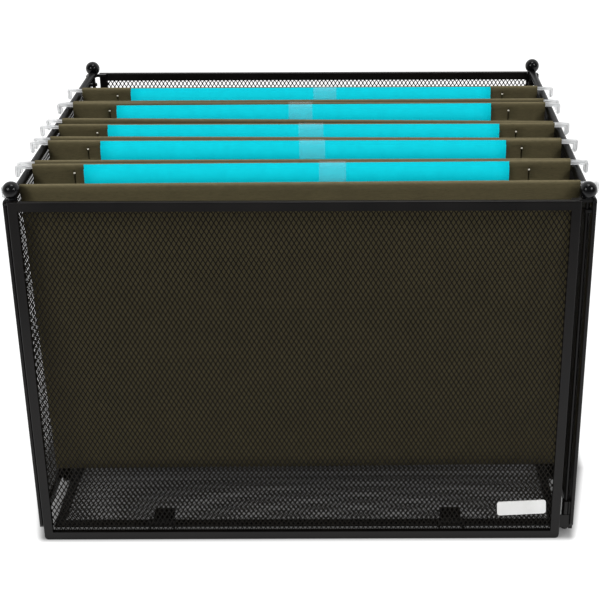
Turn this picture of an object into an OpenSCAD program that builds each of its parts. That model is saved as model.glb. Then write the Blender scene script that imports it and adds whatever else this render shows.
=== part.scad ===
// Portable file box. Four mesh walls are pinned together at the corners, a mesh floor is
// hinged to the front wall, and five hanging folders rest on the rails of the side walls.
// Millimetres, +Z up, front wall at -Y, origin at the centre of the footprint.

/* [Corner pins] */
// Distance between the left and the right corner rods
pin_span_x = 386; // [360:1:460]
// Distance between the front and the rear corner rods
pin_span_y = 316; // [270:1:420]
// From a rod's axis to the inner face of each wall that it joins
pin_offset = 3; // [3:0.1:4]
// Diameter of a corner rod
rod_d = 3; // [2:0.1:3.4]
// Diameter of the ball on top of a rod
ball_d = 12; // [10:0.2:12.4]
// Height of a ball's centre above the end walls
ball_rise = 6.5; // [6.2:0.1:9]
// How much lower the balls of the two opening corners sit
ball_settle = 1.2; // [0:0.1:2]
// Diameter of the collar under a ball
collar_d = 7.2; // [5:0.1:8]
// Diameter of the peened head under a rod
rod_head_d = 5; // [4:0.1:6]
// Running clearance of a rod in its knuckles, on the radius
pin_clearance = 0.1; // [0.05:0.01:0.3]

/* [End walls] */
// Height of the front and the rear wall
end_wall_h = 268; // [255:1:320]
// Thickness of their frames
end_wall_t = 4; // [3:0.1:5]
// How far an end wall reaches past the rod at its closing corner
end_past_pin = 2.5; // [1:0.1:4]
// How far it stops short of the rod at its opening corner
end_short_of_pin = 4.7; // [4:0.1:8]
// Width of the strip that frames an end wall
end_strip = 6.6; // [5:0.2:10]
// Radius of the two bottom corners
end_corner_r = 4; // [2:0.5:8]
// Rounding of the strip's long edges
strip_edge_r = 0.9; // [0.4:0.1:1.2]

/* [Side walls] */
// Height of a side wall's underside above the ground
side_raise = 8.2; // [7:0.1:12]
// Thickness of the side frames
side_wall_t = 2.8; // [2.6:0.1:4]
// How far a side frame reaches past the rods
side_past_pin = 5; // [3:0.5:7]
// Width of the strip that frames a side wall
side_strip = 7.5; // [6:0.5:10]
// Radius of a side frame's corners
side_corner_r = 4.5; // [3:0.5:7]
// Length of the pointed foot that closes the outer edge of each opening corner
foot_drop = 4.2; // [2:0.1:6]

/* [Side rails] */
// Width of the round-topped rail inside the top of a side wall
rail_w = 5.6; // [5:0.1:7]
// Height of the rail's outer skirt and crown
rail_h = 10; // [9:0.5:12]
// Height of the crown's short inner lip
rail_lip = 3.5; // [3:0.5:8]
// Height of the rail's crown above the end walls
rail_rise = 4; // [3:0.1:6]
// Sheet thickness of the rail
rail_sheet = 1; // [0.8:0.1:1.2]
// Radius of the rail's two ends
rail_end_r = 3.5; // [2.5:0.1:5]
// From a rod's collar to the end of the rail
rail_setback = 1.9; // [1.7:0.1:8]
// How far a side frame's top edge steps down between its posts
rail_step = 3.5; // [2.5:0.1:3.8]

/* [Wire net] */
// Width of a diamond, drawn at eight times the real pitch
cell_w = 27.5; // [24:0.5:40]
// Height of a diamond
cell_h = 46; // [40:1:70]
// Width of a strand
strand_w = 3; // [2:0.1:5]
// Thickness of the net
net_t = 0.8; // [0.5:0.1:1.2]
// Depth of the groove that holds the net inside a frame
groove_d = 3; // [2:0.1:4]
// Clearance of the net in its groove
net_clearance = 0.15; // [0.1:0.05:0.3]

/* [Corner hinges] */
// Outer diameter of a knuckle
knuckle_d = 5.8; // [4.6:0.1:5.8]
// Height of each knuckle
knuckle_h = 11; // [8:0.5:16]
// Height of the lowest knuckle's underside above the ground
knuckle_z = 7; // [5:0.5:10]
// Sheet thickness of a knuckle's leaf
leaf_t = 0.8; // [0.5:0.1:1]
// Thickness of the flat lugs at the top
lug_t = 2.2; // [1.5:0.1:3]
// From the end wall's top down to the side wall's lug
side_lug_drop = 8; // [6:0.5:15]
// Gap between neighbouring knuckles and caps
stack_gap = 0.3; // [0.2:0.05:0.5]

/* [Floor] */
// Height of the floor's underside above the ground
floor_z = 6.7; // [5.5:0.1:7.8]
// Thickness of the floor's frame
floor_t = 2.4; // [2:0.1:3]
// Width of the strip that frames the floor
floor_strip = 7; // [5:0.5:10]
// Gap between the floor and the end walls
floor_end_gap = 2; // [1.8:0.1:3]
// Gap between the floor and the rods
floor_side_gap = 4; // [3.6:0.1:8]
// Thickness of the ledges under the floor
ledge_t = 2; // [1:0.1:2.4]
// Length of a ledge along the wall
ledge_len = 20; // [10:1:40]
// How far a ledge reaches under the floor
ledge_reach = 7; // [4:0.5:10]
// Gap between the floor and its ledges
ledge_gap = 0.3; // [0.2:0.05:0.5]
// Distance between the two strap hinges of the floor
strap_span = 216; // [120:2:280]
// Width of a strap
strap_w = 15.5; // [10:0.5:25]
// How far a strap reaches in past the floor's front strip
strap_reach = 15; // [8:0.5:25]
// Sheet thickness of a strap
strap_t = 0.8; // [0.6:0.1:1]
// Outer diameter of a strap's barrel
barrel_d = 4.2; // [3.8:0.1:4.4]
// Diameter of the floor's hinge pins
floor_pin_d = 2.1; // [1.6:0.1:2.4]
// Height of the floor's hinge axis above the floor's top
floor_axis_rise = 2.7; // [2.6:0.1:3]
// Thickness of the ears that hold a hinge pin
ear_t = 1.5; // [1:0.1:3]

/* [Label plate] */
// Width of the bare plate
plate_w = 36; // [24:1:60]
// Height of the plate
plate_h = 11.5; // [8:0.5:20]
// Thickness of the plate
plate_t = 0.8; // [0.5:0.1:1]
// Corner radius of the plate
plate_r = 2; // [1:0.5:4]
// From the end wall's opening edge to the plate's centre
plate_inset = 29; // [26:1:80]
// Height of the plate's centre above the ground
plate_z = 26.5; // [18:0.5:60]
// Tilt of the plate
plate_tilt = 3; // [0:0.5:6]

/* [Hanging folders] */
// Height of a folder from its lower fold to its hem
folder_h = 234; // [200:1:238]
// Gap between a folder's edge and the rail beside it
folder_side_gap = 1.2; // [0.8:0.1:6]
// Thickness of the folder's board
board_t = 0.8; // [0.5:0.1:1.2]
// Width of the flat score at the lower fold
score_w = 3; // [2:0.5:5]
// From the front wall to the first flap
first_flap_gap = 13; // [12:0.5:20]
// How far the lower fold lies behind the front flap
fold_back = 20; // [12:0.5:26]
// Height of the hem along a flap's top
hem_h = 12; // [8:0.5:16]
// Thickness of the hem
hem_t = 2.6; // [2.5:0.1:3]

/* [Folder rods] */
// Height of a folder rod
bar_h = 2.7; // [2:0.1:3.2]
// Thickness of a folder rod
bar_t = 1.2; // [0.8:0.1:1.4]
// Clearance of a rod in its hem
bar_clearance = 0.25; // [0.2:0.05:0.3]
// Gap between a rod's hook and the rail that it rests on
hook_gap = 0.3; // [0.25:0.05:0.5]
// Sideways play between a hook and the rail
hook_play = 2.6; // [1:0.1:4]
// Width of a hook's tip
hook_w = 3.2; // [2:0.1:4]
// How far a hook reaches down outside the rail
hook_drop = 6; // [3:0.2:6.6]

/* [Inserts] */
// Width of an insert
insert_w = 298.5; // [240:0.5:320]
// Thickness of each of its two leaves
leaf_card_t = 0.6; // [0.4:0.1:0.8]
// How much lower the front leaf ends
front_leaf_drop = 3; // [1:0.5:10]
// Height of an insert's fold above the folder's fold
insert_lift = 8; // [6:0.5:20]
// Width of the clear tape strips
tape_w = 19; // [12:1:25]
// How far a tape reaches down the insert
tape_drop = 13; // [8:0.5:20]
// Thickness of the tape
tape_t = 0.25; // [0.2:0.05:0.4]

/* [Hidden] */
$fn = 64;

steel_black = "#1b1b1d";
net_black = "#2a2a2b";
board_olive = "#6f674b";
card_cyan = "#22c9dc";
clear_plastic = "#d9dee0";
plate_white = "#f2f2f0";

// Small overlap that makes two shapes one solid
join = 0.2;
// How far a cutting shape runs past what it cuts
past = 1;

// Corner rods
pin_x = pin_span_x / 2;
pin_y = pin_span_y / 2;
bore_d = rod_d + 2 * pin_clearance;
ball_seat = end_wall_h + join;
rod_top = end_wall_h + ball_rise - ball_settle;

// End walls: inner face, outer face, and the two ends seen from the front
end_in_y = pin_y + pin_offset;
end_out_y = end_in_y + end_wall_t;
end_x0 = -pin_x - end_past_pin;
end_x1 = pin_x - end_short_of_pin;
end_w = end_x1 - end_x0;

// Side walls: inner face, outer face, ends, top, and the width of the pointed foot
side_in_x = pin_x + pin_offset;
side_out_x = side_in_x + side_wall_t;
side_half = pin_y + side_past_pin;
side_top = end_wall_h + stack_gap / 2;
side_h = side_top - side_raise;
foot_w = side_wall_t - 1;

// Rails: crown, foot, inner edge, half length, and half length of the step beside the rail
rail_top = end_wall_h + rail_rise;
rail_foot = rail_top - rail_h;
rail_in_x = side_in_x - rail_w;
rail_half = pin_y - collar_d / 2 - rail_setback;
step_half = side_half - side_strip - 1;

// Floor: plan size, hinge axis
floor_top = floor_z + floor_t;
floor_half_x = pin_x - floor_side_gap;
floor_half_y = end_in_y - floor_end_gap;
floor_axis_inset = 0.5;
floor_axis_y = -floor_half_y + floor_axis_inset;
floor_axis_z = floor_top + floor_axis_rise;
ear_gap = 0.4;

// Folders: top, bottom and width; then, from front to back, how far each one is spread open,
// the gap to the folder in front of it, and how many degrees it hangs askew
folder_top = rail_top + hook_gap + bar_h + bar_clearance + board_t;
folder_bottom = folder_top - folder_h;
folder_w = 2 * (rail_in_x - folder_side_gap);
folder_openings = [42.5, 45.3, 34.2, 43.6, 38.3];
folder_gaps = [first_flap_gap, 5.4, 5.8, 10, 10.5];
folder_turns = [0.65, 0, -0.55, -0.5, 0.4];
// How far each insert lies to the right of the middle, and each tape of its insert's middle
insert_shifts = [-3.6, -1.1, -2.3, -3.6, 0.7];
tape_shifts = [25, 6.7, 5.7, -2.8, 11.7];

function sum_to(list, count) = count == 0 ? 0 : list[count - 1] + sum_to(list, count - 1);
function flap_front(k) = -end_in_y + sum_to(folder_openings, k - 1) + sum_to(folder_gaps, k);
function flap_back(k) = flap_front(k) + folder_openings[k - 1];
function flap_fold(k) = flap_front(k) + fold_back;

// Inserts: heights, and the faces of their two leaves at the top
insert_top = folder_top - join;
front_leaf_top = folder_top - front_leaf_drop;
insert_bottom = folder_bottom + insert_lift;
parting_h = 12;
hem_clearance = 0.4;
leaf_spread = 1.1;
tape_gap = 0.05;
function insert_back(k) = flap_back(k) - hem_t / 2 - hem_clearance;
function insert_face(k) = insert_back(k) - 2 * leaf_card_t - leaf_spread;

// ---------------------------------------------------------------- helper shapes

// Rectangle with its corner at the origin and four rounded corners
module soft_square(w, h, r) {
    translate([r, 0]) square([w - 2 * r, h]);
    translate([0, r]) square([w, h - 2 * r]);
    for (x = [r, w - r], y = [r, h - r]) {
        translate([x, y]) circle(r);
    }
}

// Plate in the XZ plane whose long edges are rounded and meet in mitres
module edged_plate(w, h, t, r) {
    intersection() {
        rotate([90, 0, 90]) linear_extrude(w) soft_square(t, h, r);
        linear_extrude(h) soft_square(w, t, r);
    }
}

// Outline in the XZ plane, cut through thickness t along +Y
module upright(t) {
    translate([0, t, 0]) rotate([90, 0, 0]) linear_extrude(t) children();
}

// Frame of folded strip, with a window and a groove for the net
module strip_frame(w, h, t, strip, edge_r) {
    difference() {
        edged_plate(w, h, t, edge_r);
        translate([strip, -past, strip]) cube([w - 2 * strip, t + 2 * past, h - 2 * strip]);
        translate([strip - groove_d, t / 2 - net_t / 2 - net_clearance, strip - groove_d])
            cube([w - 2 * (strip - groove_d), net_t + 2 * net_clearance,
                  h - 2 * (strip - groove_d)]);
    }
}

// Corners of one diamond gap of the net; a gap on the border is cut in half by it
function gap_corners(i, j, nx, nz, a, b, f) =
    let (x = i * a, z = j * b)
    let (border_x = i == 0 || i == nx, border_z = j == 0 || j == nz)
    concat(
        i > 0 ? [[x - f * a, z]] : [],
        j > 0 ? [[x, z - f * b]] : [],
        i < nx ? [[x + f * a, z]] : [],
        j < nz ? [[x, z + f * b]] : [],
        border_x && border_z ? [[x, z]] : []
    );

// Flat net in the XZ plane that fills a frame's window and runs into its groove
module net(frame_w, frame_h, strip) {
    w = frame_w - 2 * strip;
    h = frame_h - 2 * strip;
    nx = round(2 * w / cell_w);
    nz = round(2 * h / cell_h);
    a = w / nx;
    b = h / nz;
    f = 1 - strand_w / 2 * sqrt(1 / (a * a) + 1 / (b * b));
    m = groove_d - net_clearance;
    gaps = [
        for (i = [0 : nx], j = [0 : nz])
            if ((i + j) % 2 == 0) gap_corners(i, j, nx, nz, a, b, f)
    ];
    edge = [[-m, -m], [w + m, -m], [w + m, h + m], [-m, h + m]];
    points = concat(edge, [for (g = gaps) each g]);
    loops = [
        for (k = 0, s = len(edge); k < len(gaps); s = s + len(gaps[k]), k = k + 1)
            [for (n = [0 : len(gaps[k]) - 1]) s + n]
    ];
    translate([strip, 0, strip]) upright(net_t) polygon(points, concat([[0, 1, 2, 3]], loops));
}

// Rolled knuckle round a corner rod; its leaf runs along +X, leaf_t thick, on the face
// of a wall that lies pin_offset in front of the rod
module knuckle(leaf_len, h) {
    difference() {
        union() {
            cylinder(d = knuckle_d, h = h);
            translate([0, -pin_offset, 0]) cube([leaf_len, leaf_t, h]);
            translate([-knuckle_d / 2 + join, -pin_offset, 0])
                cube([knuckle_d / 2, pin_offset - bore_d / 2 - join, h]);
        }
        translate([0, 0, -past]) cylinder(d = bore_d, h = h + 2 * past);
    }
}

// Flat lug round a corner rod, reaching out to the wall in front of it
module lug(side_len) {
    difference() {
        union() {
            cylinder(d = knuckle_d, h = lug_t);
            translate([-knuckle_d / 2, -pin_offset, 0])
                cube([side_len + knuckle_d / 2, pin_offset, lug_t]);
        }
        translate([0, 0, -past]) cylinder(d = bore_d, h = lug_t + 2 * past);
    }
}

// Turns its child half round: from the front wall to the rear, or from the left to the right
module at_rear() {
    rotate([0, 0, 180]) children();
}

// ---------------------------------------------------------------- end walls

module end_frame() {
    color(steel_black)
    intersection() {
        translate([end_x0, -end_out_y, 0])
            strip_frame(end_w, end_wall_h, end_wall_t, end_strip, strip_edge_r);
        // Round bottom corners, sharp mitred top corners
        translate([end_x0, -end_out_y - past, 0])
            upright(end_wall_t + 2 * past) {
                translate([0, end_corner_r]) square([end_w, end_wall_h]);
                translate([end_corner_r, 0]) square([end_w - 2 * end_corner_r, end_wall_h]);
                for (x = [end_corner_r, end_w - end_corner_r]) {
                    translate([x, end_corner_r]) circle(end_corner_r);
                }
            }
    }
}

module end_net() {
    color(net_black)
    translate([end_x0, -end_out_y + end_wall_t / 2 - net_t / 2, 0])
        net(end_w, end_wall_h, end_strip);
}

// Knuckles at the foot and lugs at the top of an end wall, at both of its rods
module end_hinges() {
    closing_leaf = end_strip - end_past_pin - join;
    opening_leaf = end_short_of_pin + end_strip - join;
    lug_z = end_wall_h - lug_t - join;
    color(steel_black)
    for (corner = [[-1, closing_leaf], [1, opening_leaf]]) {
        translate([corner[0] * pin_x, -pin_y, 0]) mirror([corner[0] > 0 ? 1 : 0, 0, 0]) {
            translate([0, 0, knuckle_z]) knuckle(corner[1], knuckle_h);
            translate([0, 0, lug_z]) lug(corner[1]);
        }
    }
}

// ---------------------------------------------------------------- side walls

// Left wall in its own frame: its outer face looks to -X
module side_frame() {
    color(steel_black)
    difference() {
        union() {
            intersection() {
                translate([-side_out_x, side_half, side_raise]) rotate([0, 0, -90])
                    strip_frame(2 * side_half, side_h, side_wall_t, side_strip, strip_edge_r);
                translate([-side_out_x - past, side_half, side_raise]) rotate([0, 0, -90])
                    upright(side_wall_t + 2 * past)
                        soft_square(2 * side_half, side_h, side_corner_r);
            }
            side_foot();
        }
        // Step between the posts, which leaves the rail above it free for the hooks
        translate([-side_out_x - past, -step_half, side_top - rail_step])
            cube([side_wall_t + 2 * past, 2 * step_half, rail_step + past]);
    }
}

// Narrow foot on the outer edge of the wall's opening corner, at the rear of the left wall
module side_foot() {
    translate([-side_out_x, side_half - side_corner_r, side_raise - foot_drop + foot_w / 2]) {
        translate([0, -foot_w, 0]) cube([side_wall_t, foot_w, foot_drop + side_strip / 2]);
        translate([0, -foot_w / 2, 0]) rotate([0, 90, 0]) cylinder(d = foot_w, h = side_wall_t);
    }
}

module side_net() {
    color(net_black)
    translate([-side_out_x + side_wall_t / 2 - net_t / 2, side_half, side_raise])
        rotate([0, 0, -90]) net(2 * side_half, side_h, side_strip);
}

// Cross section of the rail, inset by its sheet for the hollow
module rail_section(inset) {
    r = rail_w / 2 - inset;
    translate([rail_w / 2, rail_h - rail_w / 2]) circle(r);
    translate([inset, inset > 0 ? -past : 0])
        square([2 * r, rail_h - rail_w / 2 + (inset > 0 ? past : 0)]);
}

// The rail seen from the side, with its two round ends
module rail_outline(inset) {
    r = rail_end_r - inset;
    l = 2 * (rail_half - inset);
    top = rail_h - inset;
    low = inset > 0 ? past : 0;
    translate([-l / 2, -low]) square([l, top - r + low]);
    translate([-l / 2 + r, -low]) square([l - 2 * r, top + low]);
    for (y = [-l / 2 + r, l / 2 - r]) {
        translate([y, top - r]) circle(r);
    }
}

module rail_body(inset) {
    intersection() {
        translate([0, rail_half + past, 0]) rotate([90, 0, 0])
            linear_extrude(2 * (rail_half + past)) rail_section(inset);
        translate([-past, 0, 0]) rotate([90, 0, 90])
            linear_extrude(rail_w + 2 * past) rail_outline(inset);
    }
}

// Sheet folded to an upside-down J; its outer skirt lies against the side frame
module side_rail() {
    color(steel_black)
    translate([-side_in_x, 0, rail_foot])
    difference() {
        rail_body(0);
        rail_body(rail_sheet);
        // The net shows below the short inner lip
        translate([rail_w / 2, -rail_half - past, -past])
            cube([rail_w, 2 * (rail_half + past), rail_h - rail_lip + past]);
    }
}

module side_hinges() {
    leaf = side_strip - side_past_pin + knuckle_d / 2;
    low_z = knuckle_z + knuckle_h + stack_gap;
    lug_z = end_wall_h - side_lug_drop - lug_t;
    color(steel_black)
    for (s = [-1, 1]) {
        translate([-pin_x, s * pin_y, 0]) rotate([0, 0, -90]) mirror([s > 0 ? 0 : 1, 0, 0]) {
            translate([0, 0, low_z]) knuckle(leaf, knuckle_h);
            translate([0, 0, lug_z]) lug(knuckle_d / 2);
        }
    }
}

// ---------------------------------------------------------------- rods and balls

module corner_rod(x, y) {
    head_h = 1.4;
    foot = knuckle_z - stack_gap - head_h;
    color(steel_black)
    translate([x, y, foot]) {
        cylinder(d = rod_head_d, h = head_h);
        cylinder(d = rod_d, h = rod_top - foot);
    }
}

// Ball with a collar, pushed onto the rod's end and cut flat where it meets the walls
module corner_ball(x, y, drop) {
    color(steel_black)
    translate([x, y, ball_seat])
    difference() {
        union() {
            translate([0, 0, end_wall_h + ball_rise - drop - ball_seat]) sphere(d = ball_d);
            cylinder(d = collar_d, h = end_wall_h + ball_rise - drop - ball_seat);
        }
        translate([0, 0, -past]) cylinder(d = bore_d, h = rod_top - ball_seat + join + past);
        translate([-ball_d / 2, -ball_d / 2, -ball_d]) cube(ball_d);
    }
}

// ---------------------------------------------------------------- floor

module floor_frame() {
    color(steel_black)
    translate([-floor_half_x, -floor_half_y, floor_top]) rotate([-90, 0, 0])
        strip_frame(2 * floor_half_x, 2 * floor_half_y, floor_t, floor_strip, strip_edge_r);
}

module floor_net() {
    color(net_black)
    translate([-floor_half_x, -floor_half_y, floor_z + floor_t / 2 + net_t / 2])
        rotate([-90, 0, 0]) net(2 * floor_half_x, 2 * floor_half_y, floor_strip);
}

// Strap leaf on the floor's front strip, rolled into a barrel on the hinge axis
module floor_straps() {
    reach = -floor_half_y + floor_strip + strap_reach - floor_axis_y;
    color(steel_black)
    for (s = [-1, 1]) {
        translate([s * strap_span / 2 - strap_w / 2, floor_axis_y, 0])
        difference() {
            union() {
                translate([0, 0, floor_top]) cube([strap_w, reach, strap_t]);
                translate([0, 0, floor_axis_z]) rotate([0, 90, 0])
                    cylinder(d = barrel_d, h = strap_w);
            }
            translate([-past, 0, floor_axis_z]) rotate([0, 90, 0])
                cylinder(d = floor_pin_d + pin_clearance, h = strap_w + 2 * past);
        }
    }
}

module floor_hinge_pins() {
    l = strap_w + 2 * (ear_gap + ear_t);
    color(steel_black)
    for (s = [-1, 1]) {
        translate([s * strap_span / 2 - l / 2, floor_axis_y, floor_axis_z])
            rotate([0, 90, 0]) cylinder(d = floor_pin_d, h = l);
    }
}

// Ears on the front wall's bottom strip that carry the floor's hinge pins
module floor_hinge_ears() {
    wall = floor_axis_y + end_in_y;
    r = barrel_d / 2;
    stem = floor_end_gap - ear_gap;
    color(steel_black)
    for (s = [-1, 1], e = [-1, 1]) {
        inner = strap_w / 2 + ear_gap + (e < 0 ? ear_t : 0);
        translate([s * strap_span / 2 + e * inner, floor_axis_y, floor_axis_z])
            rotate([90, 0, 90]) linear_extrude(ear_t)
                difference() {
                    union() {
                        circle(r);
                        translate([-wall, -r + ear_gap]) square([wall, 2 * r - ear_gap]);
                        translate([-wall, -floor_axis_z + end_strip / 3])
                            square([stem, floor_axis_z - end_strip / 3]);
                    }
                    circle(d = floor_pin_d + pin_clearance);
                    // Room for the floor's front strip when it swings up
                    translate([-wall + stem, -r - past]) square([wall + r, past + ear_gap]);
                }
    }
}

// Tabs that the floor rests on: two on the rear wall and two on each side wall
module floor_ledges() {
    top = floor_z - ledge_gap;
    color(steel_black) {
        for (s = [-1, 1]) {
            translate([s * strap_span / 2 - ledge_len / 2, floor_half_y - ledge_reach,
                       top - ledge_t])
                cube([ledge_len, end_in_y - floor_half_y + ledge_reach, ledge_t]);
        }
        for (sx = [-1, 1], sy = [-1, 1]) {
            mirror([sx > 0 ? 1 : 0, 0, 0]) translate([-side_in_x, sy * pin_y / 2, 0]) {
                translate([0, -ledge_len / 2, top - ledge_t])
                    cube([side_in_x - floor_half_x + ledge_reach, ledge_len, ledge_t]);
                translate([0, -ledge_len / 2, top - ledge_t])
                    cube([leaf_t, ledge_len, side_raise + side_strip - top + ledge_t - past]);
            }
        }
    }
}

// ---------------------------------------------------------------- label plate

module label_plate() {
    net_front = -end_out_y + end_wall_t / 2 - net_t / 2;
    color(plate_white)
    translate([end_x1 - plate_inset, net_front - plate_t, plate_z]) rotate([0, -plate_tilt, 0])
        upright(plate_t)
            translate([-plate_w / 2, -plate_h / 2]) soft_square(plate_w, plate_h, plate_r);
}

// ---------------------------------------------------------------- hanging folders

// Outline seen from the side, run across the box over width w, centred at x
module across(w, x) {
    translate([x - w / 2, 0, 0]) rotate([90, 0, 90]) linear_extrude(w) children();
}

// Hangs folder k, and what lies in it, a little askew on the rails
module askew(k) {
    middle = (flap_front(k) + flap_back(k)) / 2;
    translate([0, middle, 0]) rotate([0, 0, folder_turns[k - 1]]) translate([0, -middle, 0])
        children();
}

// Board folded into a V, with a hem round the rod along each flap
module folder_sheet(k) {
    yf = flap_front(k);
    yb = flap_back(k);
    fold = flap_fold(k);
    t = board_t / 2;
    s = score_w / 2;
    rod_z = rail_top + hook_gap - bar_clearance;
    rod_slot = [bar_t + 2 * bar_clearance, bar_h + 2 * bar_clearance];
    color(board_olive)
    askew(k)
    across(folder_w, 0)
    difference() {
        union() {
            polygon([
                [yf - t, folder_top - past], [fold - s - t, folder_bottom],
                [fold + s + t, folder_bottom], [yb + t, folder_top - past],
                [yb - t, folder_top - past], [fold + s - t, folder_bottom + board_t],
                [fold - s + t, folder_bottom + board_t], [yf + t, folder_top - past]
            ]);
            for (y = [yf, yb]) {
                translate([y - hem_t / 2, folder_top - hem_h]) square([hem_t, hem_h]);
            }
        }
        for (y = [yf, yb]) {
            translate([y - rod_slot[0] / 2, rod_z]) square(rod_slot);
        }
    }
}

// Flat rod of folder k at depth y, whose ends rest on the side rails and hook down past them
module folder_rod(k, y) {
    tip_x = side_in_x + hook_play + hook_w / 2;
    shoulder_r = min(bar_h, hook_w);
    color(clear_plastic)
    askew(k)
    translate([0, y + bar_t / 2, rail_top + hook_gap]) rotate([90, 0, 0]) linear_extrude(bar_t) {
        translate([-tip_x, 0]) square([2 * tip_x, bar_h]);
        for (s = [-1, 1]) {
            // Round shoulder, tip, and the limb between them
            intersection() {
                translate([s * (tip_x + hook_w / 2 - shoulder_r), bar_h - shoulder_r])
                    circle(shoulder_r);
                translate([s * tip_x - hook_w / 2, 0]) square([hook_w, bar_h]);
            }
            translate([s * tip_x - hook_w / 2, -hook_drop + hook_w / 2])
                square([hook_w, hook_drop - hook_w / 2 + bar_h - shoulder_r]);
            translate([s * tip_x, -hook_drop + hook_w / 2]) circle(hook_w / 2);
        }
    }
}

// Card folder of two leaves that stands in the fold and leans on the back flap
module insert(k) {
    fold = flap_fold(k);
    t = leaf_card_t;
    back = insert_back(k);
    front = insert_face(k) + t;
    // The two leaves part a little above their fold, on the line midway between them
    lean = ((back - t + front) / 2 - fold) / (insert_top - insert_bottom);
    color(card_cyan)
    askew(k)
    across(insert_w, insert_shifts[k - 1])
        polygon([
            [back, insert_top], [fold + t, insert_bottom], [fold - t, insert_bottom],
            [front - t, front_leaf_top], [front, front_leaf_top],
            [fold + lean * parting_h, insert_bottom + parting_h], [back - t, insert_top]
        ]);
}

// Strip of clear tape from the hem down the insert's front leaf
module tape(k) {
    hem_back = flap_back(k) + hem_t / 2;
    face = insert_face(k) - tape_gap;
    lean = (insert_face(k) - flap_fold(k) + leaf_card_t) / (front_leaf_top - insert_bottom);
    low = folder_top - tape_drop;
    low_face = face - lean * (front_leaf_top - low);
    color(clear_plastic)
    askew(k)
    across(tape_w, insert_shifts[k - 1] + tape_shifts[k - 1])
        polygon([
            [hem_back, folder_top], [hem_back, folder_top + tape_t],
            [face - tape_t, folder_top + tape_t], [low_face - tape_t, low],
            [low_face, low], [face, front_leaf_top], [face, folder_top]
        ]);
}

// ---------------------------------------------------------------- nodes

end_frame();  // front_frame
end_net();  // front_net
end_hinges();  // front_hinges
floor_hinge_ears();
floor_hinge_pins();
at_rear() end_frame();  // back_frame
at_rear() end_net();  // back_net
at_rear() end_hinges();  // back_hinges
side_frame();  // left_frame
side_net();  // left_net
side_rail();  // left_rail
side_hinges();  // left_hinges
at_rear() side_frame();  // right_frame
at_rear() side_net();  // right_net
at_rear() side_rail();  // right_rail
at_rear() side_hinges();  // right_hinges
corner_rod(-pin_x, -pin_y);  // rod_front_left
corner_rod(pin_x, -pin_y);  // rod_front_right
corner_rod(-pin_x, pin_y);  // rod_rear_left
corner_rod(pin_x, pin_y);  // rod_rear_right
corner_ball(-pin_x, -pin_y, 0);  // ball_front_left
corner_ball(pin_x, -pin_y, ball_settle);  // ball_front_right
corner_ball(-pin_x, pin_y, ball_settle);  // ball_rear_left
corner_ball(pin_x, pin_y, 0);  // ball_rear_right
floor_ledges();
label_plate();
floor_frame();
floor_net();
floor_straps();
folder_sheet(1);  // folder_1_sheet
folder_rod(1, flap_front(1));  // folder_1_front_rod
folder_rod(1, flap_back(1));  // folder_1_back_rod
insert(1);  // insert_1
tape(1);  // tape_1
folder_sheet(2);  // folder_2_sheet
folder_rod(2, flap_front(2));  // folder_2_front_rod
folder_rod(2, flap_back(2));  // folder_2_back_rod
insert(2);  // insert_2
tape(2);  // tape_2
folder_sheet(3);  // folder_3_sheet
folder_rod(3, flap_front(3));  // folder_3_front_rod
folder_rod(3, flap_back(3));  // folder_3_back_rod
insert(3);  // insert_3
tape(3);  // tape_3
folder_sheet(4);  // folder_4_sheet
folder_rod(4, flap_front(4));  // folder_4_front_rod
folder_rod(4, flap_back(4));  // folder_4_back_rod
insert(4);  // insert_4
tape(4);  // tape_4
folder_sheet(5);  // folder_5_sheet
folder_rod(5, flap_front(5));  // folder_5_front_rod
folder_rod(5, flap_back(5));  // folder_5_back_rod
insert(5);  // insert_5
tape(5);  // tape_5
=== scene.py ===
"""Looks of the portable file box: powder-coated frames and expanded nets, pressboard hanging
folders on frosted rods, cyan card inserts held by clear tape. Lengths of the object and of the
camera's place are in millimetres, turned to metres by MM; those of the studio are in metres."""
import math
import random

import bpy
import bmesh
from mathutils import Matrix, Vector


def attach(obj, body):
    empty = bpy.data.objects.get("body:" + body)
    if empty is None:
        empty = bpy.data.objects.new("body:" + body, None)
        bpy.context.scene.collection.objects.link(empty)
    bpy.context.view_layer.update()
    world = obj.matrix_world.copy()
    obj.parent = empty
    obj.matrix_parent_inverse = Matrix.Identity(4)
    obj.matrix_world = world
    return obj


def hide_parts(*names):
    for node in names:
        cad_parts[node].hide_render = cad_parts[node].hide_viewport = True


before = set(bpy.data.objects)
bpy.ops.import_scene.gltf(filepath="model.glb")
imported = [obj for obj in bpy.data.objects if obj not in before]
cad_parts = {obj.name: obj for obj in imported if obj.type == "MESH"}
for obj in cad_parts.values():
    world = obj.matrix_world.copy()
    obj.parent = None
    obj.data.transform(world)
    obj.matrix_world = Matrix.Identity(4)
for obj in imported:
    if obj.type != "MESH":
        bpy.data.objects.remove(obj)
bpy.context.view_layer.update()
MM = 0.001

# ------------------------------------------------------------------ camera

CAMERA_AT = (36.1, -1022.9, 587.1)
CAMERA_TILT = 65.504      # degrees up from looking straight down
CAMERA_ROLL = -0.186
PHOTO_SIDE = 600
FOCAL_PX = 1371.0
CENTRE_PX = 354.2         # the optical axis lies right of the picture's middle
SENSOR = 36.0

camera = bpy.data.objects.new("camera", bpy.data.cameras.new("camera"))
bpy.context.scene.collection.objects.link(camera)
camera.data.sensor_width = SENSOR
camera.data.lens = FOCAL_PX / PHOTO_SIDE * SENSOR
camera.data.shift_x = -(CENTRE_PX - PHOTO_SIDE / 2) / PHOTO_SIDE
camera.data.clip_start = 0.01
camera.data.clip_end = 30
camera.matrix_world = (
    Matrix.Translation(Vector(CAMERA_AT) * MM)
    @ Matrix.Rotation(math.radians(CAMERA_TILT), 4, "X")
    @ Matrix.Rotation(math.radians(CAMERA_ROLL), 4, "Z")
)
bpy.context.scene.camera = camera
bpy.context.scene.view_settings.view_transform = "Standard"

# ------------------------------------------------------------------ small helpers


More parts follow.
